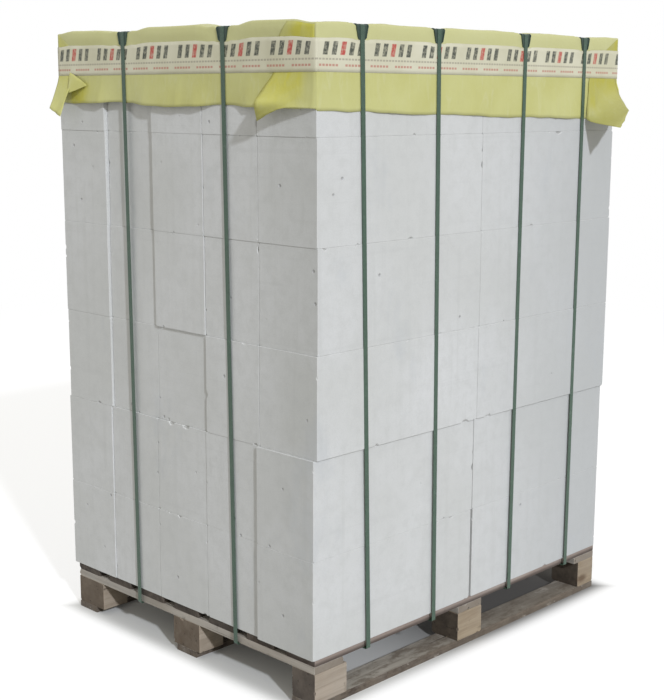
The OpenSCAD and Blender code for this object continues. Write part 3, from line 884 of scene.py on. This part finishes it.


# Folded corners of the film. Rows run down the sheet and points across it. A point is the distance out of the
# side, along it from the corner and down from the top, in mm. deep is how yellow the sheet is at its top and
# foot, ramp where that starts across it, fold where it is pinched, and the shade number how far a corner that
# faces the light is darkened as painted shade.
EAR_TOP = [(1.0, 6, 5), (1.0, 9, 5), (1.0, 12, 5)]
EARS = {
    "near": dict(corner=(X0, Y0), face="left", along=(0, 1), deep=(1.0, 0.5),
                 ramp=(0.12, 0.40), dim=0.25, rows=[
        [(1.0, 5, 4), (1.0, 48, 4), (1.0, 92, 4)],
        [(1.2, 5, 38), (1.4, 64, 38), (1.4, 124, 38)],
        [(1.4, 4, 72), (1.5, 68, 72), (1.5, 133, 72)],
        [(1.2, 1.5, 107), (1.7, 70, 107), (1.7, 139, 107)],
        [(1.2, -0.5, 146), (13, 76, 146), (25, 152, 144)],
        [(1.3, -0.5, 170), (22, 80, 172), (60, 141, 175)],
        [(1.3, -0.5, 187), (26, 86, 187), (30, 165, 216)]]),
    "right": dict(corner=(X1, Y0), face="front", along=(-1, 0), deep=(1.0, 0.12),
                  fold=0.86, dim=0.9, rows=[
        EAR_TOP,
        [(1.2, 6, 38), (1.4, 38, 38), (1.4, 72, 38)],
        [(1.5, 8, 74), (1.6, 60, 74), (1.6, 110, 74)],
        [(1.8, 10, 108), (1.8, 76, 108), (1.8, 142, 107)],
        [(9, 7, 138), (6, 78, 145), (3, 146, 155)],
        [(30, 22, 160), (22, 95, 178), (5, 152, 200)],
        [(62, 48, 180), (60, 112, 205), (16, 158, 224)],
        [(91, 76, 195), (112, 130, 221), (129, 174, 240)]]),
    "left": dict(corner=(X0, Y1), face="left", along=(0, -1), deep=(0.45, 0.15), rows=[
        EAR_TOP,
        [(1.2, 6, 38), (1.4, 28, 38), (1.4, 55, 38)],
        [(1.5, 3, 104), (1.8, 38, 104), (2, 72, 104)],
        [(18, 8, 145), (21, 40, 148), (24, 76, 150)],
        [(53, 30, 192), (55, 56, 203), (57, 84, 214)]]),
    "left_fold": dict(corner=(X0, Y1), face="left", along=(0, -1), deep=(0.25, 0.25), rows=[
        [(5, 60, 97), (4.5, 66, 99), (4, 72, 101)],
        [(15, 66, 125), (11, 94, 117), (7, 119, 120)],
        [(21, 68, 153), (14, 104, 143), (7, 140, 132)]]),
    "back": dict(corner=(X1, Y1), face="back", along=(-1, 0), deep=(0.9, 0.5), rows=[
        EAR_TOP,
        [(1.2, 6, 38), (1.4, 42, 38), (1.4, 80, 38)],
        [(1.5, 6, 108), (1.6, 68, 108), (1.6, 132, 107)],
        [(3, 2, 146), (10, 68, 148), (22, 122, 148)],
        [(4, 8, 183), (18, 70, 188), (38, 112, 186)],
        [(5, 24, 198), (20, 66, 202), (38, 98, 208)]]),
}


def pinch(u, at):
    """Height of a pinched fold, steep on the side of the ear's inner edge."""
    return smooth(at - 0.22, at, u) * smooth(at + 0.07, at, u)


# A folded corner's gap to the skirt, depths over which it comes free, heights of its waves, height and depths
# of its pinched fold, and gap between its layers, held and free
FOLD_CLEAR = 0.0009
FREE_DEPTH = (0.110, 0.200)
EAR_RIPPLE, EAR_FLUTTER = 0.0035, 0.0024
PINCH, PINCH_START, PINCH_END = 0.0055, (0.115, 0.150), (0.235, 0.200)
LAYER_HELD, LAYER_FREE = 0.0004, 0.0026


def ear_point(ear, table, u, v):
    """Place and depth of a folded corner at shares u across and v down, outside the skirt behind it."""
    out, along, depth = curve_through(curve_through(table, v), u) * MM
    free = smooth(*FREE_DEPTH, depth) * smooth(0.0, 0.06, along)
    ripple = EAR_RIPPLE * wave(along * 26, depth * 15, out)
    out += free * (ripple + EAR_FLUTTER * wave(along * 64, depth * 38))
    if "fold" in ear:
        out += PINCH * smooth(*PINCH_START, depth) * smooth(*PINCH_END, depth) * pinch(u, ear["fold"])
    face = ear["face"]
    nx, ny = FACES[face]["normal"]
    x = ear["corner"][0] + ear["along"][0] * along
    y = ear["corner"][1] + ear["along"][1] * along
    place = y if face == "left" else x
    out = max(out, stand_off(face, place, depth) + FOLD_CLEAR)
    rise = lifted(face, place) * lift_left(depth) + corner_pull(x, y, depth)[0]
    return Vector((x + nx * out, y + ny * out, TOP - depth + rise)), depth


def set_behind(places, depths, across, down, outside):
    """Places of the layer that lies behind a folded corner's outer one."""
    width, moved = across + 1, []
    for k, place in enumerate(places):
        i, j = k % width, k // width
        du = places[k + (i < across)] - places[k - (i > 0)]
        dv = places[k + width * (j < down)] - places[k - width * (j > 0)]
        normal = du.cross(dv).normalized()
        if normal.dot(outside) < 0:
            normal = -normal
        moved.append(place - normal * (LAYER_HELD + LAYER_FREE * smooth(*FREE_DEPTH, depths[k])))
    return moved


def ear_patch(ear, inner, across=14, down=30):
    """Points, faces and yellow of one layer of a folded corner; the inner layer lies behind the outer."""
    table = np.array(ear["rows"], float)
    low_u, span_u, span_v = (0.05, 0.90, 0.97) if inner else (0.0, 1.0, 1.0)
    top, low = ear["deep"]
    places, depths, deep = [], [], []
    for j in range(down + 1):
        for i in range(across + 1):
            u = low_u + span_u * i / across
            place, depth = ear_point(ear, table, u, span_v * j / down)
            value = top + (low - top) * smooth(0.10, 0.19, depth)
            if depth < TAPE_HIGH:
                value *= 1 - 0.8 * smooth(0.5, 1.0, u)
            elif "ramp" in ear:
                value *= smooth(*ear["ramp"], u)
            if "fold" in ear:
                value = max(value, 0.9 * pinch(u, ear["fold"] + 0.05) * smooth(0.210, 0.175, depth))
            places.append(place)
            depths.append(depth)
            deep.append(value)
    if inner:
        outside = Vector((*FACES[ear["face"]]["normal"], 0.0))
        places = set_behind(places, depths, across, down, outside)
    return places, grid_faces(down + 1, across + 1, False), deep


def doubled(column, depth):
    """How deep the yellow of the skirt is where folds lie behind it."""
    (x, y), _, face, _, _ = column
    if face == "left":
        away = Y1 - y
        return smooth(0.045, 0.065, away) * smooth(0.165, 0.105, away) * smooth(0.115, 0.140, depth)
    if face in ("front", "corner") and y < MID_Y and x > MID_X:
        high = smooth(0.100, 0.112, depth) * smooth(0.175, 0.145, depth)
        return 0.8 * smooth(0.070, 0.040, X1 - x) * high
    return 0.0


def thicken(obj, thickness):
    """Gives a sheet its thickness, half on each side."""
    solid = obj.modifiers.new("thickness", "SOLIDIFY")
    solid.thickness = thickness
    solid.offset = 0.0


def film_cover(material):
    """The film over the top and sides of the load, with its folded corners."""
    cols = columns()
    count = len(cols)
    points = []
    for inset, drop in [(inset, 0.0) for inset in TOP_INSETS] + list(EDGE_ROUND):
        points += [top_point(c, inset, drop) for c in cols]
    layers, crown = [0.0] * len(points), [1.0] * len(points)
    for share in SIDE_SHARES:
        for c in cols:
            depth = share * skirt_length(c)
            points.append(side_point(c, depth))
            layers.append(doubled(c, depth))
            crown.append(smooth(TAPE_LOW, TAPE_HIGH, depth))
    faces = grid_faces(len(points) // count, count, True)
    cap = len(points)
    points.append((MID_X, MID_Y, TOP + CAP_RISE))
    layers.append(0.0)
    crown.append(1.0)
    faces += [(cap, (c + 1) % count, c) for c in range(count)]
    dim = [0.0] * len(points)
    for ear in EARS.values():
        for inner in (False, True):
            more, quads, deep = ear_patch(ear, inner)
            base = len(points)
            points += more
            faces += [tuple(i + base for i in q) for q in quads]
            layers += deep
            crown += [0.0] * len(more)
            dim += [ear.get("dim", 0.0)] * len(more)
    obj = piece("film", points, faces, "film_cover", soft=True)
    point_values(obj, "layers", layers)
    point_values(obj, "crown", crown)
    point_values(obj, "dim", dim)
    obj.data.materials.append(material)
    thicken(obj, FILM_THICK)


TAPE_CLEAR, PAD_HIGH, CORNER_PAD, PAD_RAMP = 0.0005, 0.0016, 0.0012, 0.012
# Stretches of each side that have a folded corner under the tape
PADS = {"left": [(Y0 - 0.01, Y0 + 0.146), (Y1 - 0.075, Y1 + 0.01)],
        "front": [(X1 - 0.152, X1 + 0.01)], "back": [(X1 - 0.135, X1 + 0.01)]}


def ear_pad(column):
    """Extra room under the tape where a folded corner lies beneath it."""
    if column.face == "corner":
        return CORNER_PAD
    pad = 0.0
    for low, high in PADS.get(column.face, []):
        start, end = smooth(low - PAD_RAMP, low, column.along), smooth(high + PAD_RAMP, high, column.along)
        pad = max(pad, start * end)
    return PAD_HIGH * pad


def tape_band(material):
    """The tape round the film, with its length and height as UV for the print."""
    ring = columns()
    cols = ring + [ring[0]._replace(length=ring[0].length + 4 * (HALF_X + HALF_Y))]
    depths = np.linspace(TAPE_HIGH, TAPE_LOW, 9)
    points, uvs = [], []
    for d in depths:
        for c in cols:
            points.append(side_point(c, d, TAPE_CLEAR + ear_pad(c)))
            uvs.append((c.length, (TAPE_LOW - d) / (TAPE_LOW - TAPE_HIGH)))
    faces = grid_faces(len(depths), len(cols), False)
    obj = piece("tape", points, faces, "tape_band", soft=True)
    layer = obj.data.uv_layers.new(name="UVMap")
    for loop in obj.data.loops:
        layer.data[loop.index].uv = uvs[loop.vertex_index]
    obj.data.materials.append(material)
    thicken(obj, TAPE_THICK)


film_cover(film())
tape_band(tape())

# Solids kept from the frame, with their edges softened

PROTECTOR_BEVEL, RUNNER_BEVEL = 0.6 * MM, 1.6 * MM
finishes = ((STRAPS, strap_plastic(), None), (PROTECTORS, protector_plastic(), PROTECTOR_BEVEL),
            (RUNNERS, runner_wood, RUNNER_BEVEL))
for names, material, width in finishes:
    for name in names:
        obj = nodes[name]
        obj.data.materials.clear()
        obj.data.materials.append(material)
        if width:
            bevel = obj.modifiers.new("soft_edges", "BEVEL")
            bevel.width = width
            bevel.segments = 2
            bevel.limit_method = "ANGLE"

# Stage: pale floor, soft light and the camera

WHITE = (1, 1, 1)
FLOOR = 14.0
FLOOR_FADE = (2.2, 6.0)
FOOT_X, FOOT_Y = 0.60, 0.49
SKY_COLOR, SKY_STRENGTH = (1.0, 0.978, 0.905), 0.55
KEY_COLOR, KEY_ENERGY, KEY_ANGLE = (0.885, 0.925, 1.0), 1.97, math.radians(3.0)
KEY_HEADING = Vector((0.40, 1.0, -0.61))
EYE = (-2.7105, -2.6164, 1.4702)
AZIMUTH, PITCH, ROLL = math.radians(44.463), math.radians(10.777), math.radians(0.170)
FOCAL_LENGTH, SENSOR = 67.78, 36.0


def pale_floor():
    """Pale floor that keeps the part's shadow, has a painted shadow under and beside the pallet and is white
    far off.
    """
    s = Shader("pale_floor")
    x, y, _ = s.axes(s.where)
    distance = s.add("VectorMath", {0: s.where}, operation="LENGTH").outputs["Value"]
    # Painted shadow: under the pallet and beside its +X end the floor is darker, glows less and sends back
    # less light.
    beyond_x = s.math("SUBTRACT", s.math("ABSOLUTE", x), FOOT_X)
    beyond_y = s.math("SUBTRACT", s.math("ABSOLUTE", y), FOOT_Y)
    clear = s.range(s.math("MAXIMUM", beyond_x, beyond_y), -0.03, 0.08)
    beside = s.times(s.band(x, 0.50, 0.60, 0.68, 0.82), s.band(y, -0.44, -0.30, 0.25, 0.48))
    clear = s.times(clear, s.math("SUBTRACT", 1.0, beside))
    under = s.mix(s.range(x, -0.35, 0.20), (0.75, 0.75, 0.73), (0.12, 0.113, 0.105))
    pale = s.add("BsdfDiffuse", {"Color": s.mix(clear, under, (0.46, 0.46, 0.46))})
    strength = s.range(clear, 0.0, 1.0, 0.02, 0.70)
    glow = s.add("Emission", {"Color": WHITE, "Strength": strength})
    white = s.add("Emission", {"Color": WHITE, "Strength": 1.0})
    back = s.mix(clear, (0.16, 0.15, 0.14), (0.55, 0.55, 0.54))
    bounce = s.add("BsdfDiffuse", {"Color": back})
    near = s.add("AddShader", {0: pale.outputs[0], 1: glow.outputs[0]})
    shown = s.add("MixShader", {
        0: s.range(distance, *FLOOR_FADE), 1: near.outputs[0], 2: white.outputs[0]})
    ground = s.add("MixShader", {
        0: s.shows_background(), 1: bounce.outputs[0], 2: shown.outputs[0]})
    s.add("OutputMaterial", {"Surface": ground.outputs[0]})
    return s.material


floor_mesh = bpy.data.meshes.new("floor")
floor_corners = [(-FLOOR, -FLOOR, 0), (FLOOR, -FLOOR, 0), (FLOOR, FLOOR, 0), (-FLOOR, FLOOR, 0)]
floor_mesh.from_pydata(floor_corners, [], [(0, 1, 2, 3)])
floor_mesh.materials.append(pale_floor())
floor = bpy.data.objects.new("floor", floor_mesh)
scene.collection.objects.link(floor)

world = bpy.data.worlds.new("studio")
scene.world = world
world.use_nodes = True
sky = Nodes(world.node_tree)
soft = sky.add("Background", {"Color": SKY_COLOR, "Strength": SKY_STRENGTH})
plain = sky.add("Background", {"Color": WHITE, "Strength": 1.0})
blend = sky.add("MixShader", {
    0: sky.shows_background(), 1: soft.outputs[0], 2: plain.outputs[0]})
sky.add("OutputWorld", {"Surface": blend.outputs[0]})

lamp = bpy.data.lights.new("key", "SUN")
lamp.energy = KEY_ENERGY
lamp.angle = KEY_ANGLE
lamp.color = KEY_COLOR
key = bpy.data.objects.new("key", lamp)
key.rotation_mode = "QUATERNION"
key.rotation_quaternion = KEY_HEADING.to_track_quat("-Z", "Y")
scene.collection.objects.link(key)

flat_x, flat_y = math.cos(AZIMUTH), math.sin(AZIMUTH)
ahead = Vector((flat_x * math.cos(PITCH), flat_y * math.cos(PITCH), -math.sin(PITCH)))
level = Vector((flat_y, -flat_x, 0.0))
aside = math.cos(ROLL) * level + math.sin(ROLL) * level.cross(ahead)
above = aside.cross(ahead)
lens = bpy.data.cameras.new("camera")
lens.lens = FOCAL_LENGTH
lens.sensor_width = SENSOR
camera = bpy.data.objects.new("camera", lens)
turned = Matrix((aside, above, -ahead)).transposed().to_4x4()
camera.matrix_world = Matrix.Translation(EYE) @ turned
scene.collection.objects.link(camera)
scene.camera = camera
scene.view_settings.view_transform = "Standard"
